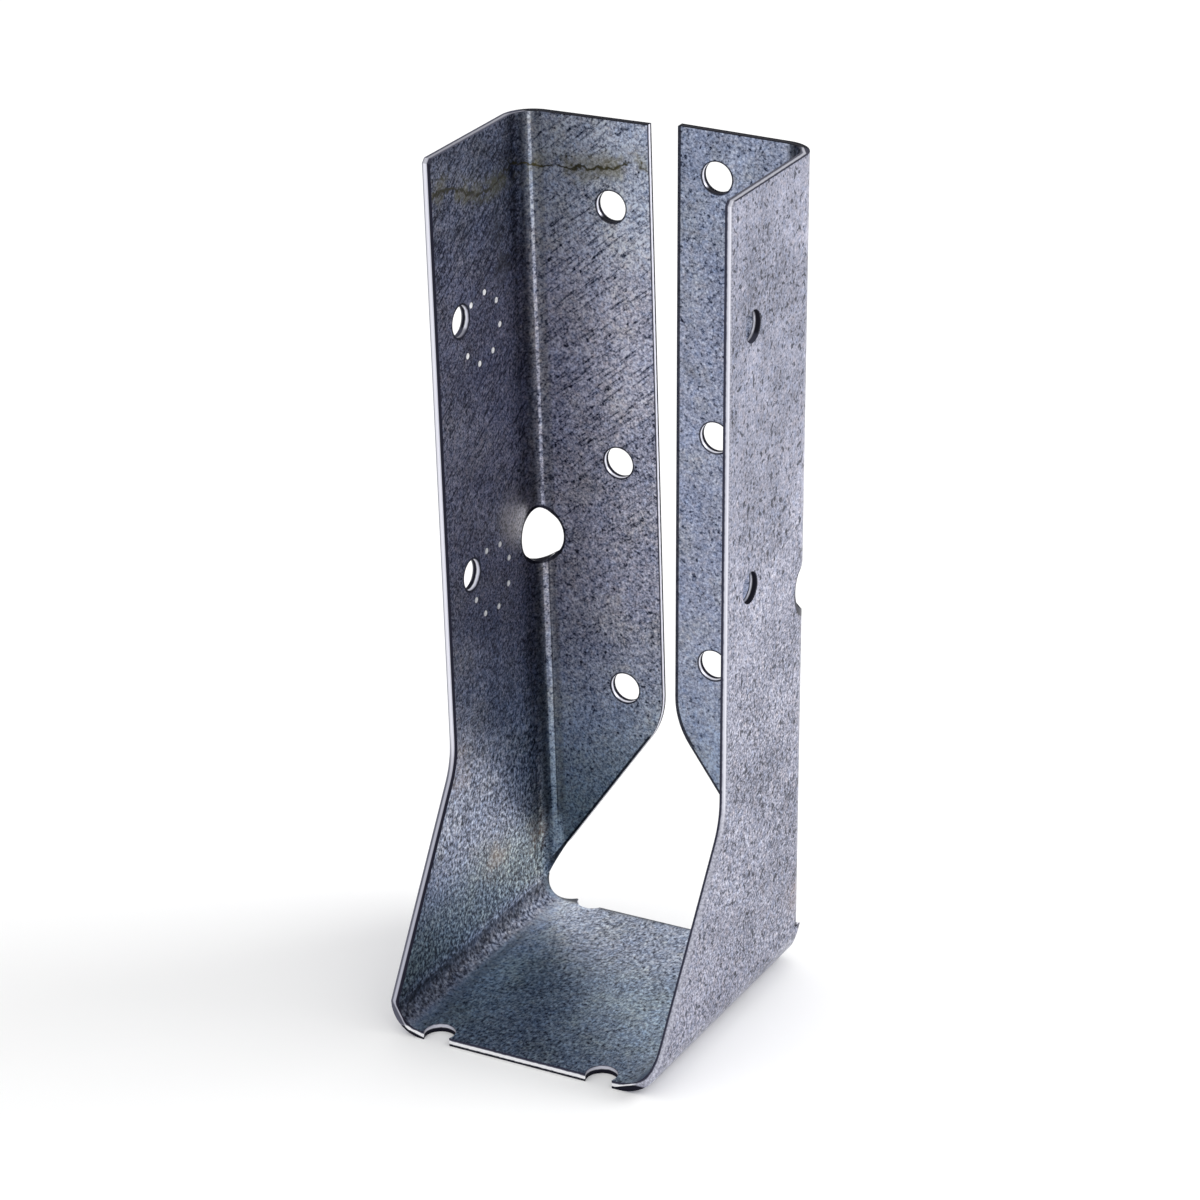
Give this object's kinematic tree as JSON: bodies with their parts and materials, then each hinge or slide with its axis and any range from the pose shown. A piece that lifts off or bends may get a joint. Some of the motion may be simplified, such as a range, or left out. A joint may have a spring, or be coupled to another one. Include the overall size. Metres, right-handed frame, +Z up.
{
  "type": "joist hanger",
  "caption": "Face-mount joist hanger with concealed flanges, folded from one galvanised steel sheet: a seat, side walls that clasp the joist, and nailing flanges turned in behind it.",
  "frame": {"origin": "under the middle of the part, level with the seat's underside: the centre of the bounding box's floor", "axes": "+X to the right across the joist, seen from the joist's side; +Y towards the header, out of the flanges' back faces; +Z up along the walls"},
  "size_m": [0.0456, 0.0444, 0.1214],
  "materials": {
    "galvanised_steel": "dull hot-dip galvanised zinc, mottled blue-grey with dark specks, light water stains near the top and bright cut edges"
  },
  "bodies": {
    "root": {"joist_hanger": "galvanised_steel"}
  },
  "joints": []
}
